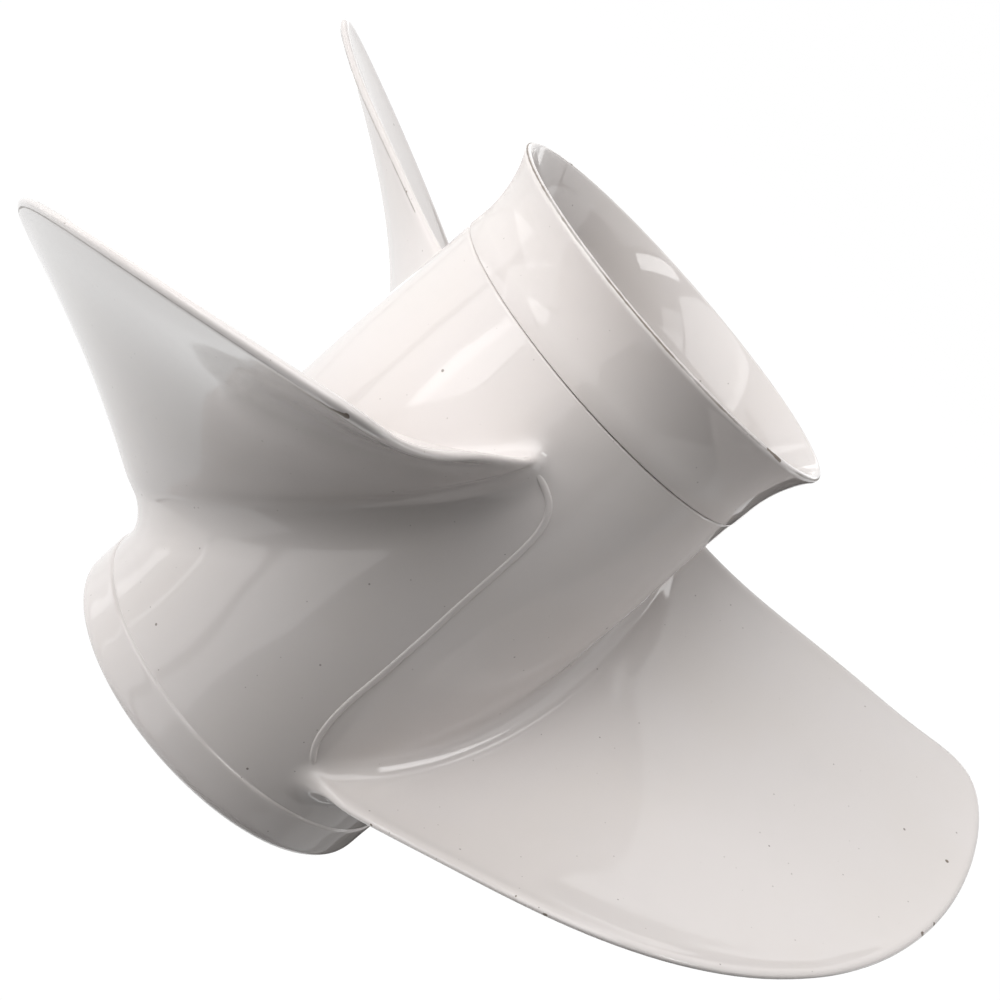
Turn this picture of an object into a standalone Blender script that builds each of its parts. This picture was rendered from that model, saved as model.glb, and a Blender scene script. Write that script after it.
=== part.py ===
"""Outboard propeller: a one-piece aluminium casting with three blades, and the pieces pressed into it.

The shaft axis is Z. The front rim stands on z = 0 and the flared rear end points up.
"""
import math

import bmesh
import bpy
from mathutils import Vector

# Driving sizes, in metres unless the name says degrees
HUB_R = 0.054
BARREL_SWELLING = 0.001
SWELLING_START_Z = 0.015
SWELLING_FULL_Z = 0.050
BARREL_NARROWING = 0.0013
NARROWING_START_Z = 0.100
NARROWING_END_Z = 0.145
BARREL_STEPS = 8
BORE_EDGE = 0.001
FRONT_BAND_LENGTH = 0.015
FRONT_BAND_STEP = 0.0005
FRONT_LIP_R = 0.0036
BARREL_LENGTH = 0.149
FRONT_BORE_R = 0.0475
REAR_BORE_R = 0.0489

RING_END_Z = 0.175
RING_RIM_R = 0.059
RING_STRAIGHT = 0.006
RING_WALL = 0.0028
RING_RIM_CROWN = 0.0005
RING_BORE_LENGTH = 0.002
SPIGOT_LENGTH = 0.0085
SPIGOT_WALL = 0.0024
JOIN_GAP = 0.0003

INNER_HUB_R = 0.0275
INNER_BORE_R = 0.0215
INNER_FRONT_Z = 0.012
INNER_REAR_Z = 0.118
INNER_EDGE = 0.002
RIB_COUNT = 3
RIB_THICKNESS = 0.006
RIB_FRONT_Z = 0.026
RIB_REAR_Z = 0.112
RIB_FIRST_ANGLE = 30.0
RIB_SINK_INNER = 0.002
RIB_SINK_OUTER = 0.003

SLEEVE_R = 0.0145
SLEEVE_FRONT_Z = 0.009
SLEEVE_REAR_Z = 0.124
SPLINE_TEETH = 15
SPLINE_ROOT_R = 0.0118
SPLINE_TIP_R = 0.0102
SPLINE_TIP_SHARE = 0.36
SPLINE_ROOT_SHARE = 0.2
SLEEVE_BLANK_R = 0.009
CUTTER_EXTRA = 0.002
BUSH_FRONT_Z = 0.016
BUSH_REAR_Z = 0.114
BUSH_EDGE = 0.0015

BLADE_COUNT = 3
BLADE_TIP_R = 0.183
BLADE_ROOT_MID_Z = 0.077
BLADE_EDGE = 0.0022
BLADE_ROOT_SWELL = 0.0092
BLADE_ROOT_CAMBER = -0.008
BLADE_TIP_FULLNESS = 2.8
ROOT_FILLET = 0.009
ROOT_FILLET_REACH = 0.9
ROOT_FILLET_SHARES = (0.0, 0.06, 0.2, 0.5, 1.0)
ROOT_SINK = 0.0022
LAST_STATION = 0.9985

# Bezier values from the hub to the tip
HALF_WIDTH_DEGREES = (46.5, 39.1, 31.3, 40.0, 29.0, 29.5)
MID_LINE_DEGREES = (-9.4, -13.2, -5.8, -6.6, -0.7, 15.9)
PITCH = (0.422, 0.446, 0.330, 0.400)
RAKE = (0.0, 0.015, 0.0206, 0.029)

TURN_STEPS = 72
CHORD_STEPS = 12
SPAN_STEPS = 13

PAINT = ("off_white_paint", (0.80, 0.79, 0.76), 0.25, 0.0)
STEEL = ("splined_steel", (0.55, 0.54, 0.52), 0.35, 1.0)
RUBBER = ("bush_rubber", (0.03, 0.03, 0.03), 0.8, 0.0)


def clear_scene():
    for old in list(bpy.data.objects):
        bpy.data.objects.remove(old)


def new_collection(name):
    group = bpy.data.collections.new(name)
    bpy.context.scene.collection.children.link(group)
    return group


def make_material(spec):
    name, color, roughness, metallic = spec
    material = bpy.data.materials.new(name)
    material.use_nodes = True
    shader = material.node_tree.nodes["Principled BSDF"]
    shader.inputs["Base Color"].default_value = (*color, 1.0)
    shader.inputs["Roughness"].default_value = roughness
    shader.inputs["Metallic"].default_value = metallic
    return material


def add_object(name, bm, group, material=None):
    mesh = bpy.data.meshes.new(name)
    bm.to_mesh(mesh)
    bm.free()
    mesh.shade_smooth()
    mesh.set_sharp_from_angle(angle=math.radians(35))
    if material:
        mesh.materials.append(material)
    piece = bpy.data.objects.new(name, mesh)
    group.objects.link(piece)
    return piece


def as_helper(piece):
    piece.hide_render = True
    piece.display_type = "WIRE"
    return piece


def turned(name, profile, group, material=None, steps=TURN_STEPS):
    """A closed (radius, z) profile, down its outer side first, turned round the shaft axis."""
    bm = bmesh.new()
    corners = [bm.verts.new((radius, 0.0, z)) for radius, z in profile]
    for here, there in zip(corners, corners[1:] + corners[:1]):
        bm.edges.new((here, there))
    piece = add_object(name, bm, group, material)
    screw = piece.modifiers.new("turn", "SCREW")
    screw.axis = "Z"
    screw.angle = math.tau
    screw.steps = screw.render_steps = steps
    screw.use_merge_vertices = True
    screw.merge_threshold = 0.00001
    screw.use_smooth_shade = True
    return piece


def arc(center, radius, start, end, steps):
    """Points on an arc in the (radius, z) plane, angles in degrees."""
    points = []
    for i in range(steps + 1):
        angle = math.radians(start + (end - start) * i / steps)
        points.append((center[0] + radius * math.cos(angle), center[1] + radius * math.sin(angle)))
    return points


def bezier(values, t):
    """The value at t of a Bezier curve through the given control values."""
    order = len(values) - 1
    return sum(
        math.comb(order, i) * t**i * (1 - t) ** (order - i) * value
        for i, value in enumerate(values)
    )


def ease(share):
    """A smooth step from 0 to 1."""
    share = min(max(share, 0.0), 1.0)
    return share * share * (3 - 2 * share)


def barrel_radius(z):
    """The hub's outer radius: a little wider halfway and narrower at the rear end."""
    wide = BARREL_SWELLING * ease((z - SWELLING_START_Z) / (SWELLING_FULL_Z - SWELLING_START_Z))
    narrow = BARREL_NARROWING * ease((z - NARROWING_START_Z) / (NARROWING_END_Z - NARROWING_START_Z))
    return HUB_R + wide - narrow


def barrel_profile():
    """The outer hub with its front band and the rebate for the flared ring."""
    band_r = HUB_R + FRONT_BAND_STEP
    rebate_r = REAR_BORE_R + SPIGOT_WALL + JOIN_GAP
    rebate_z = BARREL_LENGTH - SPIGOT_LENGTH
    outer = []
    for i in range(BARREL_STEPS + 1):
        z = BARREL_LENGTH + (FRONT_BAND_LENGTH - BARREL_LENGTH) * i / BARREL_STEPS
        outer.append((barrel_radius(z), z))
    outer.append((band_r, FRONT_BAND_LENGTH - FRONT_BAND_STEP))
    lip = arc((band_r - FRONT_LIP_R, FRONT_LIP_R), FRONT_LIP_R, 0, -90, 5)
    inner = [(FRONT_BORE_R + BORE_EDGE, 0.0), (FRONT_BORE_R, BORE_EDGE), (REAR_BORE_R, rebate_z)]
    return outer + lip + inner + [(rebate_r, rebate_z), (rebate_r, BARREL_LENGTH)]


def ring_profile():
    """The flared rear ring with the spigot that sits in the hub's rebate."""
    start_z = BARREL_LENGTH + JOIN_GAP
    flare_z = BARREL_LENGTH + RING_STRAIGHT
    spread = RING_RIM_R - HUB_R
    # the crowned rim and the wall's slant take the last stretch below the ring's end
    slant = RING_WALL / 2
    rise = RING_END_Z - RING_RIM_CROWN - slant - flare_z
    flare_r = (rise**2 + spread**2) / (2 * spread)
    center = (HUB_R + flare_r, flare_z)
    sweep = math.degrees(math.asin(rise / flare_r))
    outer = arc(center, flare_r, 180 - sweep, 180, 5)
    inner = arc(center, flare_r + RING_WALL, 180, 180 - sweep, 5)
    rim = [((outer[0][0] + inner[-1][0]) / 2, RING_END_Z)]
    spigot_r = REAR_BORE_R + SPIGOT_WALL
    spigot_z = BARREL_LENGTH - SPIGOT_LENGTH + JOIN_GAP
    neck = [(HUB_R, start_z), (spigot_r, start_z), (spigot_r, spigot_z), (REAR_BORE_R, spigot_z)]
    return outer + neck + [(REAR_BORE_R, BARREL_LENGTH + RING_BORE_LENGTH)] + inner + rim


def blade_station(t):
    """Radius, centre angle, half width, pitch per radian and rake at t from hub to tip."""
    clamped = min(max(t, 0.0), 1.0)
    radius = HUB_R + (BLADE_TIP_R - HUB_R) * t
    mid = math.radians(bezier(MID_LINE_DEGREES, clamped))
    closing = math.sqrt(max(1 - clamped**BLADE_TIP_FULLNESS, 0.0))
    half = math.radians(bezier(HALF_WIDTH_DEGREES, clamped)) * closing
    rise = bezier(PITCH, clamped) / math.tau
    return radius, mid, half, rise, bezier(RAKE, clamped)


def fillet_growth(radius):
    """How far the root fillet stands out of the blade at this radius."""
    height = min(max(radius - HUB_R, 0.0), ROOT_FILLET)
    return ROOT_FILLET_REACH * (ROOT_FILLET - math.sqrt(ROOT_FILLET**2 - (ROOT_FILLET - height) ** 2))


def blade_section(t, turn):
    """One closed ring of points on a cylinder round the shaft axis, rear face first."""
    radius, mid, half, rise, rake = blade_station(t)
    root_mid = math.radians(MID_LINE_DEGREES[0])
    lean = math.hypot(1.0, rise / radius)
    grow = fillet_growth(radius)
    clamped = min(max(t, 0.0), 1.0)

    def point(s, depth, beyond):
        angle = mid + s * half
        z = BLADE_ROOT_MID_Z + rise * (angle - root_mid) + rake
        z += BLADE_ROOT_CAMBER * (1 - clamped) * (1 - s * s)
        angle += (beyond / lean - depth * rise / radius / lean) / radius
        z += beyond * rise / radius / lean + depth / lean
        angle += turn
        return Vector((radius * math.cos(angle), radius * math.sin(angle), z))

    edge = BLADE_EDGE / 2
    ring = []
    for i in range(CHORD_STEPS + 1):
        s = -math.cos(math.pi * i / CHORD_STEPS)
        ring.append(point(s, edge + grow, 0.0))
    ring.append(point(1.0, 0.0, edge + grow))
    for i in range(CHORD_STEPS + 1):
        s = math.cos(math.pi * i / CHORD_STEPS)
        swell = BLADE_ROOT_SWELL * (1 - clamped) * (1 - s * s)
        ring.append(point(s, -edge - grow - swell, 0.0))
    ring.append(point(-1.0, 0.0, -edge - grow))
    return ring


def span_stations():
    """Places along the blade: close together in the root fillet and near the tip."""
    reach = BLADE_TIP_R - HUB_R
    stations = [-ROOT_SINK / reach] + [ROOT_FILLET * share / reach for share in ROOT_FILLET_SHARES]
    last = stations[-1]
    for i in range(1, SPAN_STEPS + 1):
        stations.append(last + (LAST_STATION - last) * math.sin(math.pi / 2 * i / SPAN_STEPS))
    return stations


def close_section(bm, ring):
    """Close a section with strips from its rear face to its front face, which follow the cylinder."""
    rear = ring[:CHORD_STEPS + 1]
    front = list(reversed(ring[CHORD_STEPS + 2:2 * CHORD_STEPS + 3]))
    for i in range(CHORD_STEPS):
        bm.faces.new((rear[i], rear[i + 1], front[i + 1], front[i]))
    bm.faces.new((rear[-1], ring[CHORD_STEPS + 1], front[-1]))
    bm.faces.new((rear[0], front[0], ring[-1]))


def make_blade(index, group):
    """A blade lofted through its sections, closed at the root and the tip."""
    bm = bmesh.new()
    turn = math.tau * index / BLADE_COUNT
    rings = [[bm.verts.new(p) for p in blade_section(t, turn)] for t in span_stations()]
    for low, high in zip(rings, rings[1:]):
        for i in range(len(low)):
            j = (i + 1) % len(low)
            bm.faces.new((low[i], low[j], high[j], high[i]))
    close_section(bm, rings[0])
    close_section(bm, rings[-1])
    bmesh.ops.triangulate(bm, faces=bm.faces[:])
    bmesh.ops.recalc_face_normals(bm, faces=bm.faces[:])
    return as_helper(add_object(f"blade_core_{index + 1}", bm, group))


def make_rib(index, group):
    """A straight rib between the inner hub and the outer hub."""
    bm = bmesh.new()
    inner = INNER_HUB_R - RIB_SINK_INNER
    outer = HUB_R - RIB_SINK_OUTER
    size = (outer - inner, RIB_THICKNESS, RIB_REAR_Z - RIB_FRONT_Z)
    middle = ((inner + outer) / 2, 0.0, (RIB_REAR_Z + RIB_FRONT_Z) / 2)
    bmesh.ops.create_cube(bm, size=1.0)
    bmesh.ops.scale(bm, vec=size, verts=bm.verts)
    bmesh.ops.translate(bm, vec=middle, verts=bm.verts)
    rib = add_object(f"rib_core_{index + 1}", bm, group)
    rib.rotation_euler.z = math.radians(RIB_FIRST_ANGLE + 360.0 * index / RIB_COUNT)
    return as_helper(rib)


def join_to(piece, other, operation="UNION"):
    cut = piece.modifiers.new(other.name, "BOOLEAN")
    cut.operation = operation
    cut.solver = "EXACT"
    cut.object = other


def make_casting(group, helpers, paint):
    """Outer hub, inner hub, ribs and blades, cast as one piece."""
    casting = turned("propeller_casting", barrel_profile(), group, paint)
    inner = [
        (INNER_HUB_R, INNER_REAR_Z),
        (INNER_HUB_R, INNER_FRONT_Z + INNER_EDGE),
        (INNER_HUB_R - INNER_EDGE, INNER_FRONT_Z),
        (INNER_BORE_R, INNER_FRONT_Z),
        (INNER_BORE_R, INNER_REAR_Z),
    ]
    join_to(casting, as_helper(turned("inner_hub_core", inner, helpers, steps=48)))
    for i in range(RIB_COUNT):
        join_to(casting, make_rib(i, helpers))
    for i in range(BLADE_COUNT):
        join_to(casting, make_blade(i, helpers))
    return casting


def make_sleeve(group, helpers, steel):
    """The steel sleeve that the propeller shaft's splines slide into."""
    profile = [
        (SLEEVE_R, SLEEVE_REAR_Z),
        (SLEEVE_R, SLEEVE_FRONT_Z),
        (SLEEVE_BLANK_R, SLEEVE_FRONT_Z),
        (SLEEVE_BLANK_R, SLEEVE_REAR_Z),
    ]
    sleeve = turned("splined_sleeve", profile, group, steel, steps=60)
    bm = bmesh.new()
    outline = []
    pitch = math.tau / SPLINE_TEETH
    start_z = SLEEVE_FRONT_Z - CUTTER_EXTRA
    corners = [
        (-SPLINE_TIP_SHARE, SPLINE_TIP_R),
        (-SPLINE_ROOT_SHARE, SPLINE_ROOT_R),
        (SPLINE_ROOT_SHARE, SPLINE_ROOT_R),
        (SPLINE_TIP_SHARE, SPLINE_TIP_R),
    ]
    for i in range(SPLINE_TEETH):
        for share, radius in corners:
            angle = (i + share) * pitch
            outline.append(bm.verts.new((radius * math.cos(angle), radius * math.sin(angle), start_z)))
    floor = bm.faces.new(outline)
    lifted = bmesh.ops.extrude_face_region(bm, geom=[floor])["geom"]
    top = [v for v in lifted if isinstance(v, bmesh.types.BMVert)]
    bmesh.ops.translate(bm, vec=(0.0, 0.0, SLEEVE_REAR_Z + CUTTER_EXTRA - start_z), verts=top)
    bmesh.ops.recalc_face_normals(bm, faces=bm.faces[:])
    join_to(sleeve, as_helper(add_object("spline_cutter", bm, helpers)), "DIFFERENCE")
    return sleeve


def make_bush(group, rubber):
    """The rubber bush that is pressed between the inner hub and the sleeve."""
    outer = INNER_BORE_R - JOIN_GAP
    inner = SLEEVE_R + JOIN_GAP
    profile = [
        (outer - BUSH_EDGE, BUSH_REAR_Z),
        (outer, BUSH_REAR_Z - BUSH_EDGE),
        (outer, BUSH_FRONT_Z + BUSH_EDGE),
        (outer - BUSH_EDGE, BUSH_FRONT_Z),
        (inner, BUSH_FRONT_Z),
        (inner, BUSH_REAR_Z),
    ]
    return turned("rubber_bush", profile, group, rubber, steps=48)


def main():
    clear_scene()
    group = new_collection("outboard_propeller")
    helpers = new_collection("construction")
    paint = make_material(PAINT)
    make_casting(group, helpers, paint)
    turned("flared_ring", ring_profile(), group, paint)
    make_sleeve(group, helpers, make_material(STEEL))
    make_bush(group, make_material(RUBBER))


main()
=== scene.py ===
# Outboard motor propeller: finished surfaces, paint, studio light and camera
import math

import bmesh
import bpy
import numpy as np
from mathutils import Matrix, Vector
from mathutils.bvhtree import BVHTree


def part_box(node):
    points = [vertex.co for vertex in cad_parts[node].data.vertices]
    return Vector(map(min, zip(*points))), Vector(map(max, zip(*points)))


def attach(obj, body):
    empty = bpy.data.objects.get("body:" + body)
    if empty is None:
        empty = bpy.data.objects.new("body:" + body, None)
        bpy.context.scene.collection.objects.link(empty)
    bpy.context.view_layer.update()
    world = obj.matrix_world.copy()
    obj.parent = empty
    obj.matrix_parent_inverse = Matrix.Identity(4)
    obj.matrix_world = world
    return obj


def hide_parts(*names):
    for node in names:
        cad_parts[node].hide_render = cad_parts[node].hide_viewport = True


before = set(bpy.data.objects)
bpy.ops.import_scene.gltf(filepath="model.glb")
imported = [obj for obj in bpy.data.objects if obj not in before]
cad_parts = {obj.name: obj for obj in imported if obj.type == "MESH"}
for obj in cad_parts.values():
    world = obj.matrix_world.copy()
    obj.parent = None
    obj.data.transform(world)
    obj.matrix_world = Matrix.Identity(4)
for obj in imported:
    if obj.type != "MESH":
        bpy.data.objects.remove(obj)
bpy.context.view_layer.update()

mm = 0.001
print("frame loaded")


# Node helpers

class Wire:
    # wraps one output socket, so that shader maths reads as plain arithmetic
    def __init__(self, board, socket):
        self.board = board
        self.socket = socket


def addArithmetic(name, operation):
    setattr(Wire, f"__{name}__", lambda wire, other: wire.board.math(operation, wire, other))
    setattr(Wire, f"__r{name}__", lambda wire, other: wire.board.math(operation, other, wire))


for name, operation in (("add", "ADD"), ("sub", "SUBTRACT"), ("mul", "MULTIPLY"), ("truediv", "DIVIDE")):
    addArithmetic(name, operation)


class Board:
    # one node tree being filled, for a material or a geometry modifier
    def __init__(self, tree):
        self.tree = tree

    def plug(self, socket, value):
        if isinstance(value, Wire):
            self.tree.links.new(value.socket, socket)
        else:
            socket.default_value = value

    def fill(self, node, sockets):
        for key, value in sockets.items():
            self.plug(node.inputs[key], value)

    def node(self, kind, settings=None, sockets=None, output=0):
        made = self.tree.nodes.new(kind)
        for name, value in (settings or {}).items():
            setattr(made, name, value)
        self.fill(made, sockets or {})
        return Wire(self, made.outputs[output]) if made.outputs else made

    def math(self, operation, first, second=0.0, clamp=False):
        settings = {"operation": operation, "use_clamp": clamp}
        return self.node("ShaderNodeMath", settings, {0: first, 1: second})

    def vector(self, operation, first, second, output=0):
        return self.node("ShaderNodeVectorMath", {"operation": operation}, {0: first, 1: second}, output)

    def mix(self, factor, first, second):
        # colours, as links or as red, green and blue
        sockets = {0: factor}
        for key, color in ((6, first), (7, second)):
            sockets[key] = color if isinstance(color, Wire) else (*color, 1.0)
        return self.node("ShaderNodeMix", {"data_type": "RGBA"}, sockets, 2)

    def noise(self, place, scale, detail=2.0):
        return self.node("ShaderNodeTexNoise", None, {"Vector": place, "Scale": scale, "Detail": detail})

    def fade(self, value, start, end):
        # 0 at start and 1 at end, smooth between
        return self.node("ShaderNodeMapRange", {"interpolation_type": "SMOOTHSTEP"},
                         {"Value": value, "From Min": start, "From Max": end})

    def specks(self, place, size, radius, share):
        # round dots in some cells of a random pattern: cell size, dot radius, share of the cells
        sockets = {"Vector": place, "Scale": 1 / size}
        distance = self.node("ShaderNodeTexVoronoi", None, sockets)
        color = self.node("ShaderNodeTexVoronoi", None, sockets, 1)
        chance = self.node("ShaderNodeSeparateColor", None, {0: color})
        width = self.node("ShaderNodeSeparateColor", None, {0: color}, 1)
        reach = (width * 0.7 + 0.3) * (radius / size)
        return self.fade(distance / reach, 1.15, 0.75) * self.math("LESS_THAN", chance, share)

    def bump(self, shader, height):
        bump = self.node("ShaderNodeBump", None, {"Strength": 1.0, "Distance": 1 * mm, "Height": height})
        self.plug(shader.inputs["Normal"], bump)


def newMaterial(name):
    material = bpy.data.materials.new(name)
    material.use_nodes = True
    board = Board(material.node_tree)
    shader = material.node_tree.nodes["Principled BSDF"]
    return material, board, shader


# Shape helpers

def bezier(values, t):
    order = len(values) - 1
    return sum(math.comb(order, i) * t**i * (1 - t)**(order - i) * value for i, value in enumerate(values))


def clamp(value, low=0.0, high=1.0):
    return min(max(value, low), high)


def pick(sizes, *keys):
    return [sizes[key] for key in keys]


def xyz(spot):
    angle, radius, z = spot
    return np.array([radius * math.cos(angle), radius * math.sin(angle), z])


def cylindrical(place):
    return math.atan2(place[1], place[0]), math.hypot(place[0], place[1]), place[2]


def graded(share, amount):
    # closer together at both ends than in the middle
    return share + (0.5 - 0.5 * math.cos(math.pi * share) - share) * amount


def ease(share):
    share = clamp(share)
    return share * share * (3 - 2 * share)


def arc(center, radius, start, end, steps):
    # points (radius, z) along an arc, from one angle to the other in degrees
    bends = [math.radians(start + (end - start) * i / steps) for i in range(steps + 1)]
    return [(center[0] + radius * math.cos(bend), center[1] + radius * math.sin(bend)) for bend in bends]


def eased(radius, z, outward, upward, soft):
    # three points (radius, z) round a soft corner, from the cylinder to the flat end
    points = [(radius, z - upward * soft), (radius - outward * 0.3 * soft, z - upward * 0.3 * soft)]
    return points + [(radius - outward * soft, z)]


def filletStep(fillet, share):
    # height over the foot and spread beyond the wall, at a share of the way down a round fillet
    phi = share * math.pi / 2
    return fillet * (1 - math.sin(phi)), fillet * (1 - math.cos(phi))


def lengthsAlong(places):
    return np.concatenate([[0], np.cumsum(np.linalg.norm(np.diff(places, axis=0), axis=1))])


def swollen(radius, z):
    # the hub is a little wider halfway and narrower at its rear end; the bore and the blades don't follow
    c = castingSizes
    (start, full), (narrowStart, end) = c["swellingFrom"], c["narrowingFrom"]
    grow = c["swelling"] * ease((z - start) / (full - start))
    grow -= c["narrowing"] * ease((z - narrowStart) / (end - narrowStart))
    wall = clamp((radius - c["rebateRadius"]) / (c["hubRadius"] - c["edgeRound"] - c["rebateRadius"]))
    return radius + grow * wall * (1 - ease((radius - c["hubRadius"]) / c["swellingFade"]))


def addNumbers(mesh, name, values):
    # one number at each vertex, for the paint to read
    mesh.attributes.new(name, "FLOAT", "POINT").data.foreach_set("value", values)


class Cage:
    # the control cage of one third of the casting; a corner is (spot number, thirds turned)
    def __init__(self, thirds):
        self.thirds = thirds
        self.spots = []
        self.quads = []
        # numbers of the spots along the blades' front corners, where the paint draws a line of painted shade
        self.shadeLined = set()

    def spot(self, angle, radius, z):
        self.spots.append(xyz((angle, swollen(radius, z), z)))
        return len(self.spots) - 1, 0

    def band(self, first, second):
        self.quads += zip(first, first[1:], second[1:], second)

    def spins(self):
        turn = math.tau / self.thirds
        return np.array([Matrix.Rotation(turn * k, 3, "Z") for k in range(self.thirds)])

    def wind(self):
        # turns quads over until neighbours run along their shared edge in opposite ways
        def edges(quad):
            for (first, turnFirst), (second, turnSecond) in zip(quad, quad[1:] + quad[:1]):
                yield first, second, (turnSecond - turnFirst) % self.thirds

        users = {}
        for i, quad in enumerate(self.quads):
            for edge in edges(quad):
                users.setdefault(edge, []).append(i)
        flipped = {0: False}
        queue = [0]
        while queue:
            i = queue.pop()
            for first, second, turn in edges(self.quads[i]):
                met = [(j, not flipped[i]) for j in users[first, second, turn]]
                met += [(j, flipped[i]) for j in users.get((second, first, -turn % self.thirds), ())]
                for j, flip in met:
                    if j not in flipped:
                        flipped[j] = flip
                        queue.append(j)
        self.quads = [quad[::-1] if flipped[i] else quad for i, quad in enumerate(self.quads)]

    def normals(self, places, numbers, turns):
        # direction across the skin at each spot
        spins = self.spins()
        corners = np.einsum("qcij,qcj->qci", spins[turns % self.thirds], places[numbers])
        across = np.cross(corners[:, 2] - corners[:, 0], corners[:, 3] - corners[:, 1])
        across /= np.linalg.norm(across, axis=1)[:, None]
        total = np.zeros_like(places)
        for i in range(4):
            own = np.einsum("qij,qj->qi", spins[-turns[:, i] % self.thirds], across)
            np.add.at(total, numbers[:, i], own)
        return total / np.linalg.norm(total, axis=1)[:, None]

    def settle(self, passes):
        # moves the control points in or out until the smooth surface runs through the spots asked for
        self.wind()
        wanted = np.array(self.spots)
        control = wanted.copy()
        spins = self.spins()
        numbers, turns = np.moveaxis(np.array(self.quads), 2, 0)
        normals = self.normals(wanted, numbers, turns)
        valence = np.bincount(numbers.ravel(), minlength=len(control))[:, None].astype(float)
        for _ in range(passes):
            around = np.zeros_like(control)
            for i in range(4):
                # the two neighbours along the edges count twice, the one across the quad once
                for step, weight in ((1, 2.0), (3, 2.0), (2, 1.0)):
                    j = (i + step) % 4
                    spin = spins[(turns[:, j] - turns[:, i]) % self.thirds]
                    place = np.einsum("mij,mj->mi", spin, control[numbers[:, j]])
                    np.add.at(around, numbers[:, i], weight * place)
            limit = (valence**2 * control + around) / (valence * (valence + 5))
            control += normals * np.sum((wanted - limit) * normals, axis=1)[:, None]
        self.spots = list(control)

    def mesh(self, name):
        spins = self.spins()
        corners = sorted({corner for quad in self.quads for corner in quad})
        order = {corner: i for i, corner in enumerate(corners)}
        places = [spins[k % self.thirds] @ self.spots[n] for n, k in corners]
        mesh = bpy.data.meshes.new(name)
        mesh.from_pydata(places, [], [[order[corner] for corner in quad] for quad in self.quads])
        addNumbers(mesh, "cornerLine", [float(number in self.shadeLined) for number, _ in corners])
        return mesh


def turned(row, column):
    # a corner of a row that repeats every third of a turn
    number, thirds = row[column % len(row)]
    return number, thirds + column // len(row)


def tubeFaces(rows, around):
    # quads between rows of spots that close round
    return [(i * around + j, i * around + k, (i + 1) * around + k, (i + 1) * around + j)
            for i in range(rows - 1) for j, k in zip(range(around), (*range(1, around), 0))]


def linkObject(name, data):
    piece = bpy.data.objects.new(name, data)
    bpy.context.scene.collection.objects.link(piece)
    return piece


def bakeModifiers(piece):
    # the evaluated shape becomes the object's own mesh, and its modifiers go
    bpy.context.view_layer.update()
    seen = piece.evaluated_get(bpy.context.evaluated_depsgraph_get())
    mesh = bpy.data.meshes.new_from_object(seen)
    piece.modifiers.clear()
    piece.data = mesh
    mesh.name = piece.name


# The casting: outer hub, inner hub, ribs and blades in one skin

castingSizes = {
    "blades": 3,
    "hubRadius": 54.0 * mm,
    "swelling": 1.0 * mm,
    "swellingFrom": (15.0 * mm, 50.0 * mm),
    "narrowing": 1.3 * mm,
    "narrowingFrom": (100.0 * mm, 145.0 * mm),
    "swellingFade": 40.0 * mm,
    "hubLength": 149.0 * mm,
    "bandLength": 13.8 * mm,
    "bandStep": 0.5 * mm,
    "lipRadius": 3.6 * mm,
    "lipBase": 0.12 * mm,
    "bandProfile": ((0.15, 0.0), (0.55, 0.25 * mm), (0.87, 0.6 * mm), (1.0, 1.3 * mm), (1.0, 3.5 * mm),
                    (1.0, 6.3 * mm)),
    "lipProfile": ((1.6 * mm, 0.0), (0.5 * mm, 0.2 * mm)),
    "relaxing": 0.6,
    "relaxFrom": 16.8 * mm,
    "frontBore": 47.5 * mm,
    "rearBore": 48.9 * mm,
    "rebateRadius": 51.6 * mm,
    "rebateFloor": 140.5 * mm,
    "edgeRound": 0.4 * mm,
    "betweenCells": 10,
    "betweenGrading": 0.7,
    "rootCells": 4,
    "frontSlide": (0.4, 0.68, 0.84, 0.92, 0.97),
    "rearSlide": (0.4, 0.68, 0.85, 0.93, 0.97),
    "rearBoreRows": ((120.5 * mm, 0.0), (128 * mm, 0.4), (136 * mm, 0.8)),
    "frontBoreRows": ((17.5 * mm, 0.0), (13 * mm, 0.3), (8 * mm, 0.65), (4 * mm, 0.9), (1.6 * mm, 1.0)),
    "smoothLevel": 2,
    "settlePasses": 5,
}

bladeSizes = {
    "tipRadius": 182.5 * mm,
    "rootMiddleZ": 77.9 * mm,
    "halfWidth": (45.8, 39.1, 31.3, 40.0, 29.0, 29.5),
    "midLine": (-8.7, -13.2, -5.8, -6.6, -0.7, 15.9),
    "pitch": (0.422, 0.446, 0.330, 0.400),
    "rake": (0.0, 15.0 * mm, 20.6 * mm, 29.0 * mm),
    "camber": -8.0 * mm,
    "swell": 9.2 * mm,
    "tipFullness": 2.8,
    "edge": 1.1 * mm,
    "noseExtra": 2.2 * mm,
    "noseFade": 10.0 * mm,
    "noseFrom": 0.35,
    "inset": 4.0 * mm,
    "frontFillet": (6.5 * mm, 10.0 * mm, 11.0 * mm, 7.0 * mm),
    "rearFillet": (6.0 * mm, 9.0 * mm, 9.0 * mm, 6.5 * mm),
    "noseFillet": {-1: 7.5 * mm, 1: 4.0 * mm},
    "filletShare": 0.9,
    "filletSteps": 4,
    "chordCells": 14,
    "sideCells": 11,
    "tipCorner": 50.0,
    "rootCrowding": 1.35,
    "rootEvenness": 0.55,
    "rimSamples": 3000,
    "wornWidth": 4.0 * mm,
    "wornFrom": 0.08,
}

ribSizes = {
    "angle": 30.0,
    "thickness": 6.0 * mm,
    "front": 26.0 * mm,
    "rear": 112.0 * mm,
    "outerFillet": 4.5 * mm,
    "innerFillet": 3.4 * mm,
    "rows": 7,
    "hubRadius": 27.5 * mm,
    "hubBore": 21.5 * mm,
    "hubFront": 12.0 * mm,
    "hubRear": 118.0 * mm,
    "hubRound": 1.0 * mm,
    "hubFrontRound": 2.6 * mm,
    "hubFrontEase": 0.4 * mm,
}


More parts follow.
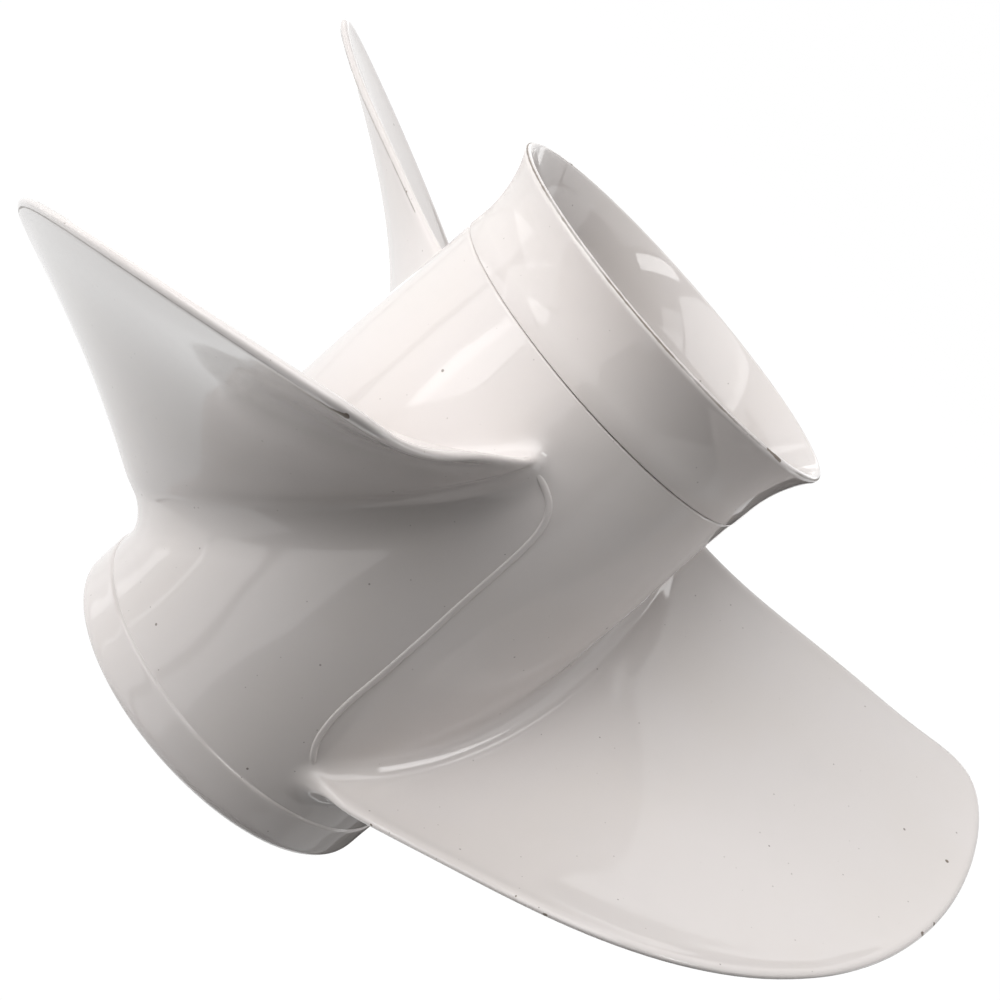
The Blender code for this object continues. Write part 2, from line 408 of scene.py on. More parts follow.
def station(radius):
    # share of the way to the tip, middle angle, half width, rise per radian and rake at a radius
    b = bladeSizes
    hub = castingSizes["hubRadius"]
    t = clamp((radius - hub) / (b["tipRadius"] - hub))
    half = math.radians(bezier(b["halfWidth"], t)) * math.sqrt(max(1 - t**b["tipFullness"], 0.0))
    middle = math.radians(bezier(b["midLine"], t))
    return t, middle, half, bezier(b["pitch"], t) / math.tau, bezier(b["rake"], t)


def bladeHeight(angle, s, t, rise, rake):
    b = bladeSizes
    z = b["rootMiddleZ"] + rise * (angle - math.radians(b["midLine"][0])) + rake
    return z + b["camber"] * (1 - t) * (1 - s * s)


def onBlade(angle, radius):
    # height of the blade's middle surface, and where on its chord that is
    t, mid, half, rise, rake = station(radius)
    s = clamp((angle - mid) / max(half, 0.02), -1.0, 1.0)
    return bladeHeight(angle, s, t, rise, rake), s, t


def bladePlace(angle, radius):
    return xyz((angle, radius, onBlade(angle, radius)[0]))


def offBlade(angle, radius, distance):
    return cylindrical(bladePlace(angle, radius) + bladeNormal(angle, radius) * distance)


def bladeNormal(angle, radius):
    step = 0.5 * mm
    across = bladePlace(angle + step / radius, radius) - bladePlace(angle - step / radius, radius)
    out = bladePlace(angle, radius + step) - bladePlace(angle, radius - step)
    normal = np.cross(out, across)
    return normal / np.linalg.norm(normal)


def halfEdge(s, height):
    # half the thickness at the blade's border: the front nose is blunt near the hub
    b = bladeSizes
    return b["edge"] + b["noseExtra"] * math.exp(-height / b["noseFade"]) * ease((-s - b["noseFrom"]) * 2)


def thickness(side, s, t, height):
    # distance from the middle surface to the rear face (side 1) or the front face (side -1)
    swell = bladeSizes["swell"] * (1 - t) * (1 - s * s) if side < 0 else 0.0
    return halfEdge(s, height) + swell


def rimSpots():
    # angle and radius along the blade's border, from the front root over the tip to the rear root
    b = bladeSizes
    hub = castingSizes["hubRadius"]
    reach = b["tipRadius"] - hub
    power = 2 / b["tipFullness"]
    first, last = (math.asin((b["noseFillet"][end] / reach)**(1 / power)) for end in (-1, 1))
    sweep = np.linspace(first, math.pi - last, b["rimSamples"])
    t = np.sin(sweep)**power
    angles = np.radians(bezier(b["midLine"], t) - bezier(b["halfWidth"], t) * np.cos(sweep))
    radii = hub + reach * t
    places = np.array([bladePlace(angle, radius) for angle, radius in zip(angles, radii)])
    length = lengthsAlong(places)
    corner = math.radians(b["tipCorner"])
    left = np.interp(corner, sweep, length)
    right = np.interp(math.pi - corner, sweep, length)
    crowded = (np.arange(b["sideCells"] + 1) / b["sideCells"])**b["rootCrowding"]
    top = np.linspace(left, right, b["chordCells"] + 1)
    stops = np.concatenate([crowded * left, top[1:-1], length[-1] - crowded[::-1] * (length[-1] - right)])
    return np.interp(stops, length, angles), np.interp(stops, length, radii), stops, length, places


def ringSpot(radius, s, depth, beyond):
    # a spot on a cylinder round the shaft: s on the chord, depth across the blade, beyond along it
    t, mid, half, rise, rake = station(radius)
    slope = rise / radius
    lean = math.hypot(1.0, slope)
    angle = mid + s * half
    z = bladeHeight(angle, s, t, rise, rake)
    return angle + (beyond - depth * slope) / lean / radius, radius, z + (beyond * slope + depth) / lean


def sideFillet(side, s):
    values = bladeSizes["rearFillet"] if side > 0 else bladeSizes["frontFillet"]
    return bezier(values, (s + 1) / 2)


def rootRow(side, share):
    # spots of one face along the hub, at a share of the way down the root fillet
    b = bladeSizes
    hub = castingSizes["hubRadius"]
    even = b["rootEvenness"]
    _, _, half, rise, _ = station(hub)
    halfChord = half * math.hypot(hub, rise)
    limits = []
    for end in (-1, 1):
        edge = halfEdge(end, filletStep(sideFillet(side, end), share)[0])
        inset = edge + (b["inset"] - b["edge"]) * (1 - share)
        limits.append(end * (1 - inset / halfChord))
    spots = []
    for j in range(b["chordCells"] + 1):
        place = 2 * j / b["chordCells"] - 1
        crowded = 0.5 + 0.5 * (even * place + (1 - even) * math.sin(place * math.pi / 2))
        s = limits[0] + (limits[1] - limits[0]) * crowded
        height, grow = filletStep(sideFillet(side, s), share)
        t = station(hub + height)[0]
        depth = thickness(side, s, t, height) + grow * b["filletShare"]
        spots.append(ringSpot(hub + height, s, side * depth, 0.0))
    return spots


def rootNose(end, share):
    # three spots round one end of the root: rear side, middle, front side
    b = bladeSizes
    spots = []
    for side in (1, 0, -1):
        fillet = b["noseFillet"][end]
        if side:
            fillet = (fillet + sideFillet(side, end)) / 2
        height, grow = filletStep(fillet, share)
        edge = halfEdge(end, height)
        reach = edge + grow * b["filletShare"]
        bend = math.radians(90 - 45 * share) * side
        beyond = end * (reach * math.cos(bend) - edge)
        spots.append(ringSpot(castingSizes["hubRadius"] + height, end, reach * math.sin(bend), beyond))
    return spots


def bladeCage(cage):
    # both faces and the border; returns the closed loop of corners along the hub
    b = bladeSizes
    a, n = b["sideCells"], b["chordCells"]
    angles, radii, stops, length, places = rimSpots()
    rims = {1: [], 0: [], -1: []}
    insets = {1: [], -1: []}
    for k, (angle, radius) in enumerate(zip(angles, radii)):
        here = bladePlace(angle, radius)
        ends = stops[k] + np.array([1 * mm, -1 * mm])
        along = np.array([np.subtract(*np.interp(ends, length, places[:, i])) for i in range(3)])
        out = np.cross(along, bladeNormal(angle, radius - b["edge"]))
        out /= np.linalg.norm(out)
        edge = halfEdge(-1.0 if k <= a else 1.0, radius - castingSizes["hubRadius"])
        rims[0].append((angle, radius, here[2]))
        for side in (1, -1):
            innerAngle, innerRadius, _ = cylindrical(here - out * edge)
            rims[side].append(offBlade(innerAngle, innerRadius, side * edge))
            insets[side].append(cylindrical(here - out * (b["inset"] + edge - b["edge"]))[:2])
    for end, k in ((-1, 0), (1, -1)):
        for side, spot in zip((1, 0, -1), rootNose(end, 0.0)):
            rims[side][k] = spot
    rims = {side: [cage.spot(*spot) for spot in spots] for side, spots in rims.items()}
    cage.shadeLined.update(number for number, _ in rims[-1][2:-4])

    faces = {}
    for side in (1, -1):
        root = rootRow(side, 0.0)
        left = [root[0][:2]] + insets[side][1:a + 1]
        top = insets[side][a:a + n + 1]
        right = [root[-1][:2]] + insets[side][a + n:-1][::-1]
        bottom = [spot[:2] for spot in root]
        left, right, top, bottom = (np.array(line) for line in (left, right, top, bottom))
        rows = [[cage.spot(*spot) for spot in root]]
        for i in range(1, a + 1):
            v = (i / a)**b["rootCrowding"]
            row = []
            for j in range(n + 1):
                u = j / n
                spot = (1 - v) * bottom[j] + v * top[j] + (1 - u) * left[i] + u * right[i]
                spot -= (1 - u) * (1 - v) * bottom[0] + u * (1 - v) * bottom[n]
                spot -= (1 - u) * v * top[0] + u * v * top[n]
                _, s, t = onBlade(*spot)
                deep = thickness(side, s, t, spot[1] - castingSizes["hubRadius"])
                row.append(cage.spot(*offBlade(*spot, side * deep)))
            rows.append(row)
        faces[side] = rows
        for lower, upper in zip(rows, rows[1:]):
            cage.band(lower, upper)
        border = [row[0] for row in rows] + rows[a][1:-1] + [row[-1] for row in rows[::-1]]
        cage.band(border, rims[side])
        cage.band(rims[side], rims[0])
    frontNose = [rims[side][0] for side in (1, 0, -1)]
    rearNose = [rims[side][-1] for side in (-1, 0, 1)]
    return [faces[1][0][0]] + frontNose + faces[-1][0] + rearNose + faces[1][0][:0:-1]


def loopSpots(share):
    # the whole loop round the root at a share of the way down the fillet
    rear = rootRow(1, share)
    front = rootRow(-1, share)
    return [rear[0]] + rootNose(-1, share) + front + rootNose(1, share)[::-1] + rear[:0:-1]


def closedBand(cage, first, second):
    cage.band(first + first[:1], second + second[:1])


def castingCage():
    c, b, r = castingSizes, bladeSizes, ribSizes
    cage = Cage(c["blades"])
    third = math.tau / c["blades"]
    across = c["rootCells"]
    total = across + c["betweenCells"]
    hub = c["hubRadius"]

    def between(low, high, first=0, shift=0):
        # cells between two rows that repeat every third of a turn
        columns = range(first, total + 1)
        cage.band([turned(low, i) for i in columns], [turned(high, i + shift) for i in columns])

    def rowsPast(foot, corners, count, radiusAt):
        # rows round the shaft from one foot to the next, a foot being the closed loop round a blade's root
        # or a rib; the first row and the last also run round the foot's two ends
        made = []
        for i in range(count + 1):
            near, far = across + i, -i % len(foot)
            picks = [far] + [None] * (across - 1) + [near]
            if i == 0:
                picks = list(range(across + 1))
            if i == count:
                picks[1:across] = range(near + across - 1, near, -1)
            row = [None if k is None else corners[k] for k in picks]
            spots = [None if k is None else foot[k] for k in picks]
            (start, _, startZ), (end, _, endZ) = foot[near], foot[far]
            for k in range(1, c["betweenCells"]):
                share = graded(k / c["betweenCells"], c["betweenGrading"])
                z = startZ + (endZ - startZ) * share
                spots.append((start + (end + third - start) * share, radiusAt(z), z))
                row.append(cage.spot(*spots[-1]))
            made.append((row, spots))
        for (low, _), (high, _) in zip(made, made[1:]):
            between(low, high, across)
        return made

    def extend(spots):
        # one more row, joined to the last one
        nonlocal previous
        row = [cage.spot(*spot) for spot in spots]
        between(previous, row)
        previous = row

    def slideRows(border, target, shares):
        # rows from the blade roots towards a circle, ever closer together, that leave along the blades'
        # helix; returns the angles on the circle
        rise = station(hub)[3]

        def slid(share):
            slow = (share - share * share / 2) / rise
            return [angle + (target - z) * slow for angle, _, z in border]

        for share in shares:
            extend([(angle, hub, z + (target - z) * share) for angle, (_, _, z) in zip(slid(share), border)])
        return slid(1.0)

    # blades, their root fillets down to the hub, and the hub rows between them
    loop = bladeCage(cage)
    for step in range(1, b["filletSteps"] + 1):
        spots = loopSpots(step / b["filletSteps"])
        below = [cage.spot(*spot) for spot in spots]
        closedBand(cage, loop, below)
        loop = below
    hubRows = rowsPast(spots, loop, b["chordCells"], lambda z: hub)

    # front band and lip
    step, lip, band, base = pick(c, "bandStep", "lipRadius", "bandLength", "lipBase")
    profile = [(hub + out * step, band - down) for out, down in c["bandProfile"]]
    profile += arc((hub + step - lip, base + lip), lip, 0, -90, 4)
    profile += [(c["frontBore"] + out, base + up) for out, up in c["lipProfile"]]
    previous, border = hubRows[0]
    ends = slideRows(border, band, c["frontSlide"])
    even = [ends[2] + third * (i - 2) / total for i in range(total)]
    for radius, z in profile:
        relax = c["relaxing"] * clamp(1 - z / c["relaxFrom"])
        frontAngles = [own + (other - own) * relax for own, other in zip(ends, even)]
        extend([(angle, radius, z) for angle in frontAngles])
    frontEdge = previous

    # rear end with the rebate that the flared ring sits in
    length, rebate, floor, soft = pick(c, "hubLength", "rebateRadius", "rebateFloor", "edgeRound")
    profile = eased(hub, length, 1, 1, soft)
    profile += [(rebate + soft, length), (rebate, length - soft), (rebate, floor + 2 * soft)]
    profile += [(rebate - 0.3 * soft, floor + 0.3 * soft), (rebate - soft, floor)]
    profile += [(c["rearBore"] + soft, floor), (c["rearBore"], floor - soft)]
    previous, border = hubRows[-1]
    rearAngles = slideRows(border, length - soft, c["rearSlide"])
    for radius, z in profile:
        extend([(angle, radius, z) for angle in rearAngles])
    rearEdge = previous

    # bore wall and inner hub with the three ribs between them
    def bore(z):
        return c["frontBore"] + (c["rearBore"] - c["frontBore"]) * clamp(z / floor)

    def ribLoop(radiusAt, grow):
        # closed loop round a rib at one distance from the shaft, rear end first
        wide = r["thickness"] / 2 + grow
        rear, front = r["rear"] - r["thickness"] / 2, r["front"] + r["thickness"] / 2
        levels = [rear + (front - rear) * i / r["rows"] for i in range(1, r["rows"])]
        flat = arc((0.0, rear), wide, 180, 0, across) + [(wide, z) for z in levels]
        flat += arc((0.0, front), wide, 0, -180, across) + [(-wide, z) for z in reversed(levels)]
        middle = math.radians(r["angle"])
        return [(middle + x / radiusAt(z), radiusAt(z), z) for x, z in flat]

    shares = [i / b["filletSteps"] for i in range(b["filletSteps"] + 1)]
    outer = [filletStep(r["outerFillet"], 1 - share) for share in shares]
    inner = [filletStep(r["innerFillet"], share) for share in shares]
    stations = [(lambda z, rise=rise: bore(z) - rise, grow) for rise, grow in outer]
    stations.append((lambda z: (c["frontBore"] + r["hubRadius"]) / 2, 0.0))
    stations += [(lambda z, rise=rise: r["hubRadius"] + rise, grow) for rise, grow in inner]
    loops = []
    for radiusAt, grow in stations:
        spots = ribLoop(radiusAt, grow)
        loops.append((spots, [cage.spot(*spot) for spot in spots]))
    for (_, first), (_, second) in zip(loops, loops[1:]):
        closedBand(cage, first, second)

    def boreRows(wall, endRow, endAngles, stations):
        # rows of the bore from the wall round the ribs to one end, turned towards the end's corners
        nonlocal previous
        previous, spots = wall
        angles = [spot[0] for spot in spots]
        shift = round((angles[2] - endAngles[2]) / third * total)
        ends = [endAngles[(i + shift) % total] + third * ((i + shift) // total) for i in range(total)]
        for z, share in stations:
            extend([(own + (other - own) * share, bore(z), z) for own, other in zip(angles, ends)])
        between(previous, endRow, 0, shift)

    wall = rowsPast(*loops[0], r["rows"], bore)
    boreRows(wall[0], rearEdge, rearAngles, c["rearBoreRows"])
    boreRows(wall[-1], frontEdge, frontAngles, c["frontBoreRows"])

    innerRows = rowsPast(*loops[-1], r["rows"], lambda z: r["hubRadius"])
    radius, inside, front, rear = pick(r, "hubRadius", "hubBore", "hubFront", "hubRear")
    soft, wide, nip = pick(r, "hubRound", "hubFrontRound", "hubFrontEase")
    profile = eased(radius, rear, 1, 1, soft) + eased(inside, rear, -1, 1, soft)[::-1]
    profile += [(inside, rear + (front - rear) * share) for share in (0.25, 0.5, 0.75)]
    profile += eased(inside, front, -1, -1, soft)
    profile += [(radius - wide, front), (radius - wide + soft, front + nip)]
    profile += [(radius - nip, front + wide - soft), (radius, front + wide)]
    previous, spots = innerRows[0]
    for ringRadius, z in profile:
        extend([(angle, ringRadius, z) for angle, _, _ in spots])
    between(previous, innerRows[-1][0])
    return cage


def repeatTree(name, subdivide):
    # copies a mesh round the shaft, welds the copies and, if asked, smooths the result
    tree = bpy.data.node_groups.new(name, "GeometryNodeTree")
    kinds = {"Geometry": "Geometry", "Copies": "Int", "Weld distance": "Float"}
    if subdivide:
        kinds["Smooth level"] = "Int"
    kinds["Finish"] = "Material"
    for label, kind in kinds.items():
        tree.interface.new_socket(label, in_out="INPUT", socket_type="NodeSocket" + kind)
    tree.interface.new_socket("Geometry", in_out="OUTPUT", socket_type="NodeSocketGeometry")
    board = Board(tree)
    given = tree.nodes.new("NodeGroupInput")
    inputs = {socket.name: Wire(board, socket) for socket in given.outputs if socket.name}
    line = board.node("GeometryNodeMeshLine", None, {"Count": inputs["Copies"], "Offset": (0.0, 0.0, 0.0)})
    index = board.node("GeometryNodeInputIndex")
    spin = board.node("FunctionNodeAxisAngleToRotation", None,
                      {"Axis": (0.0, 0.0, 1.0), "Angle": index * (math.tau / inputs["Copies"])})
    copies = board.node("GeometryNodeInstanceOnPoints", None,
                        {"Points": line, "Instance": inputs["Geometry"], "Rotation": spin})
    steps = [("RealizeInstances", {}), ("MergeByDistance", {"Distance": inputs["Weld distance"]})]
    if subdivide:
        steps.append(("SubdivisionSurface", {"Level": inputs["Smooth level"], "Limit Surface": True}))
    steps += [("SetShadeSmooth", {}), ("SetMaterial", {"Material": inputs["Finish"]})]
    whole = copies
    for kind, values in steps:
        whole = board.node("GeometryNode" + kind, None, {0: whole, **values})
    out = tree.nodes.new("NodeGroupOutput")
    tree.links.new(whole.socket, out.inputs[0])
    return tree


def closeOutward(mesh):
    # makes every face of a closed skin point out; returns how many edges are open
    bm = bmesh.new()
    bm.from_mesh(mesh)
    bmesh.ops.recalc_face_normals(bm, faces=bm.faces[:])
    if bm.calc_volume(signed=True) < 0:
        bmesh.ops.reverse_faces(bm, faces=bm.faces[:])
    loose = sum(not edge.is_manifold for edge in bm.edges)
    bm.to_mesh(mesh)
    bm.free()
    return loose


def repeatRound(piece, name, copies, weld, finish, level=None):
    # the piece's mesh, repeated round the shaft, becomes its own mesh; returns how many edges are open
    tree = repeatTree(name, level is not None)
    values = {"Copies": copies, "Weld distance": weld, "Smooth level": level, "Finish": finish}
    modifier = piece.modifiers.new(tree.name, "NODES")
    modifier.node_group = tree
    for item in tree.interface.items_tree:
        if item.in_out == "INPUT" and item.name in values:
            modifier[item.identifier] = values[item.name]
    bakeModifiers(piece)
    return closeOutward(piece.data)


def makeCasting(paint):
    c = castingSizes
    cage = castingCage()
    cage.settle(c["settlePasses"])
    piece = linkObject("painted_casting", cage.mesh("casting_third"))
    loose = repeatRound(piece, "turn and smooth", c["blades"], 0.01 * mm, paint, c["smoothLevel"])
    piece.data.set_sharp_from_angle(angle=math.radians(60))
    print("casting:", len(piece.data.polygons), "faces,", loose, "open edges")
    return piece


# Flared rear ring

ringSizes = {
    "gap": 0.3 * mm,
    "end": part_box("flared_ring")[1].z,
    "rim": 59.0 * mm,
    "wall": 2.3 * mm,
    "lipShare": 1.55,
    "flareSteps": 16,
    "rimSteps": 10,
    "straight": 6.0 * mm,
    "wornWidth": 3.0 * mm,
    "steps": 144,
    "soft": 0.35 * mm,
}


def ringOutline():
    # radius and height round the ring's section, outer side from the rim down first
    c, g = castingSizes, ringSizes
    hub, bore = c["hubRadius"], c["rearBore"]
    start = c["hubLength"] + g["gap"]
    flareStart = c["hubLength"] + g["straight"]
    lip = g["wall"] / 2
    rise = g["end"] - g["lipShare"] * lip - flareStart
    spread = g["rim"] - hub
    flare = (rise**2 + spread**2) / (2 * spread)
    opening = 180 - math.degrees(math.asin(rise / flare))
    center = (hub + flare, flareStart)
    outer = arc(center, flare, opening, 180, g["flareSteps"])
    inner = arc(center, flare + g["wall"], 180, opening, g["flareSteps"])
    middle = ((outer[0][0] + inner[-1][0]) / 2, (outer[0][1] + inner[-1][1]) / 2)
    lean = math.degrees(math.atan2(outer[0][1] - middle[1], outer[0][0] - middle[0]))
    rim = arc(middle, lip, lean + 180, lean, g["rimSteps"])[1:-1]
    spigot = c["rebateRadius"] - g["gap"]
    floor = c["rebateFloor"] + g["gap"]
    soft = g["soft"]
    shoulder = eased(hub, start, 1, -1, soft)
    shoulder += [(spigot, start), (spigot, floor + soft), (spigot - soft, floor)]
    shoulder += [(bore + soft, floor), (bore, floor + soft), (bore, start)]
    for share in (0.25, 0.5, 0.75):
        blend = bore + (inner[0][0] - bore) * ease(share)
        shoulder.append((blend, start + (flareStart - start) * share))
    return outer + shoulder + inner + rim


def turnOutline(name, outline, steps, finish):
    # a closed outline of (radius, z) turned round the shaft
    mesh = bpy.data.meshes.new(name)
    edges = [(i, (i + 1) % len(outline)) for i in range(len(outline))]
    mesh.from_pydata([(radius, 0.0, z) for radius, z in outline], edges, [])
    piece = linkObject(name, mesh)
    screw = piece.modifiers.new("turn", "SCREW")
    screw.steps = screw.render_steps = steps
    screw.use_merge_vertices = True
    screw.merge_threshold = 0.01 * mm
    bakeModifiers(piece)
    closeOutward(piece.data)
    piece.data.shade_smooth()
    piece.data.materials.clear()
    piece.data.materials.append(finish)
    print(name, "made")
    return piece


# Mould lines: the low ridge where the mould's halves met, one from each blade to the next

beadSizes = {
    "path": ((-84.0, 130.0), (-79.0, 128.5), (-74.4, 127.2), (-71.0, 124.8), (-68.7, 119.5), (-68.0, 111.0),
             (-67.8, 92.0), (-67.3, 79.0), (-67.0, 62.0), (-67.2, 50.0), (-66.3, 42.0), (-64.2, 35.0),
             (-60.0, 30.0), (-57.0, 28.0)),
    "section": ((-1.0, -1.2), (-0.86, 0.1), (-0.66, 0.72), (-0.4, 0.98), (0.0, 1.0), (0.4, 0.98),
                (0.66, 0.72), (0.86, 0.1), (1.0, -1.2)),
    "depth": 1.2,
    "endWidth": 0.3,
    "halfWidth": 1.1 * mm,
    "height": 0.42 * mm,
    "stations": 160,
    "smoothing": 30,
    "placeSmoothing": 3,
    "normalSmoothing": 6,
    "castFrom": 66.0 * mm,
    "endFade": 8,
}


def smoothed(values, passes):
    values = np.array(values, dtype=float)
    for _ in range(passes):
        values[1:-1] = (values[:-2] + 2 * values[1:-1] + values[2:]) / 4
    return values


def makeBeads(casting, paint):
    b = beadSizes
    mesh = casting.data
    tree = BVHTree.FromPolygons([v.co[:] for v in mesh.vertices], [p.vertices[:] for p in mesh.polygons])
    hub = castingSizes["hubRadius"]
    path = np.array([(math.radians(angle) * hub, z * mm) for angle, z in b["path"]])
    length = lengthsAlong(path)
    stops = np.linspace(0, length[-1], b["stations"])
    flat = smoothed(np.column_stack([np.interp(stops, length, path[:, i]) for i in (0, 1)]), b["smoothing"])
    places = []
    normals = []
    for across, z in flat:
        out = Vector((math.cos(across / hub), math.sin(across / hub), 0.0))
        hit, normal, _, _ = tree.ray_cast(out * b["castFrom"] + Vector((0.0, 0.0, z)), -out)
        places.append(hit[:])
        normals.append(normal[:])
    places = smoothed(places, b["placeSmoothing"])
    normals = smoothed(normals, b["normalSmoothing"])
    along = np.gradient(places, axis=0)
    sideways = np.cross(along, normals)
    sideways /= np.linalg.norm(sideways, axis=1)[:, None]
    points = []
    for i, (place, normal, side) in enumerate(zip(places, normals, sideways)):
        full = ease(min(i, b["stations"] - 1 - i) / b["endFade"])
        wide = b["halfWidth"] * (b["endWidth"] + (1 - b["endWidth"]) * full)
        for u, h in b["section"]:
            height = ((h + b["depth"]) * full - b["depth"]) * b["height"]
            points.append(place + side * u * wide + normal * height)
    around = len(b["section"])
    faces = tubeFaces(b["stations"], around)
    faces.append(tuple(range(around)))
    faces.append(tuple(range(len(points) - around, len(points))))
    mesh = bpy.data.meshes.new("mould_line_third")
    mesh.from_pydata(points, [], faces)
    piece = linkObject("mould_lines", mesh)
    repeatRound(piece, "turn the mould line", castingSizes["blades"], 0.001 * mm, paint)
    print("mould lines made")
    return piece


# Rubber bush and splined sleeve

bushSizes = {
    "outer": 21.2 * mm,
    "inner": 14.8 * mm,
    "front": 16.0 * mm,
    "rear": 114.0 * mm,
    "round": 1.5 * mm,
    "dish": 1.1 * mm,
    "dishSteps": 8,
    "steps": 96,
}


def bushOutline():
    b = bushSizes
    soft = b["round"]
    face = b["outer"] - soft
    end = arc((face, soft), soft, 0, -90, 4)
    for i in range(1, b["dishSteps"]):
        share = i / b["dishSteps"]
        end.append((face + (b["inner"] - face) * share, b["dish"] * math.sin(math.pi * share)))
    end.append((b["inner"], 0.0))
    rear = [(radius, b["rear"] - z) for radius, z in reversed(end)]
    return [(radius, b["front"] + z) for radius, z in end] + rear


sleeveSizes = {
    "outer": 14.5 * mm,
    "front": 9.0 * mm,
    "rear": 124.0 * mm,
    "chamfer": 0.6 * mm,
    "boreChamfer": 0.7 * mm,
    "teeth": 15,
    "rootRadius": 11.8 * mm,
    "tipRadius": 10.2 * mm,
    "rootShare": 0.2,
    "tipShare": 0.36,
    "cornerShare": 0.018,
}


def makeSleeve(steel):
    # one tooth space of the sleeve, repeated round the shaft
    s = sleeveSizes
    pitch = math.tau / s["teeth"]
    corner = s["cornerShare"]
    shares = [s[key] + step for key in ("rootShare", "tipShare") for step in (-corner, 0.0, corner)] + [0.5]
    shares = [-share for share in shares[::-1]] + [0.0] + shares
    soft, cut = s["chamfer"], s["boreChamfer"]
    columns = []
    for share in shares:
        reach = clamp((abs(share) - s["rootShare"]) / (s["tipShare"] - s["rootShare"]))
        bore = s["rootRadius"] + (s["tipRadius"] - s["rootRadius"]) * reach
        loop = []
        for end, inward in ((s["front"], 1), (s["rear"], -1)):
            half = [(s["outer"], end + inward * soft), (s["outer"] - soft, end), (bore + cut, end)]
            half += [(bore, end + inward * cut)]
            loop += half if inward > 0 else half[::-1]
        columns.append([xyz((share * pitch, radius, z)) for radius, z in loop])
    mesh = bpy.data.meshes.new("sleeve_tooth")
    faces = tubeFaces(len(columns), len(columns[0]))
    mesh.from_pydata([place for column in columns for place in column], [], faces)
    piece = linkObject("steel_splined_sleeve", mesh)
    loose = repeatRound(piece, "turn the splines", s["teeth"], 0.001 * mm, steel)
    piece.data.set_sharp_from_angle(angle=math.radians(25))
    print("sleeve made,", loose, "open edges")
    return piece


# Finishes

paintLook = {
    "base": (0.692, 0.653, 0.636),
    "yellowed": (0.686, 0.645, 0.622),
    "greyed": (0.668, 0.633, 0.619),
    "roughness": 0.05,
    "hazeRoughness": 0.12,
    "speck": (0.17, 0.14, 0.12),
    "bareMetal": (0.36, 0.34, 0.32),
    "grimeAndShade": (0.16, 0.12, 0.09),
    # the dark colour of grime in chips, also used for the painted shade lines
    "peel": 0.004,
    "waves": 0.05,
    "slowScale": 22.0,
    "fineScale": 240.0,
    "hazeScale": 60.0,
    "raggedScale": 420.0,
    "patchScale": 30.0,
    "peelScale": 520.0,
    "wavesScale": 55.0,
    "dots": (15.0 * mm, 0.5 * mm, 1.0),
    "dust": (6.0 * mm, 0.32 * mm, 0.9),
    "pits": (3.6 * mm, 0.26 * mm, 0.3),
}

# the larger chips: degrees round the shaft, then radius, height and size in mm, and how dark they are
paintChips = (
    (-98.3, 178.6, 138.1, 0.8, 0.9),
    (-38.6, 117.9, 61.4, 0.9, 0.7),
    (1.0, 175.6, 116.7, 0.8, 0.8),
    (-1.2, 173.6, 114.0, 0.9, 0.8),
    (9.6, 173.6, 125.4, 0.7, 0.9),
    (-82.0, 56.4, 127.0, 0.6, 0.3),
    (73.0, 178.5, 133.0, 1.3, 0.8),
    (118.0, 177.0, 113.0, 1.1, 0.8),
    (150.0, 58.8, 174.6, 1.2, 0.8),
)

# scuffs from one place to another on worn edges: two places as above, half width in mm and how dark they are
paintScuffs = (
    ((-101.4, 179.2, 134.6), (-98.3, 178.9, 137.9), 0.6, 1.0),
    ((-45.5, 58.5, 174.8), (-39.2, 58.8, 174.5), 0.45, 0.9),
    ((98.0, 58.5, 174.8), (104.0, 58.8, 174.5), 0.4, 0.7),
)
# painted shade: a dark ring round the rim's outer corner, standing for the dark reflection in the lip's
# rounding
rimShadeLine = {"radius": 58.75 * mm, "height": 174.4 * mm, "width": 0.32 * mm, "darkness": 0.7}


def paintSpot(degrees, radius, height):
    return xyz((math.radians(degrees), radius * mm, height * mm))


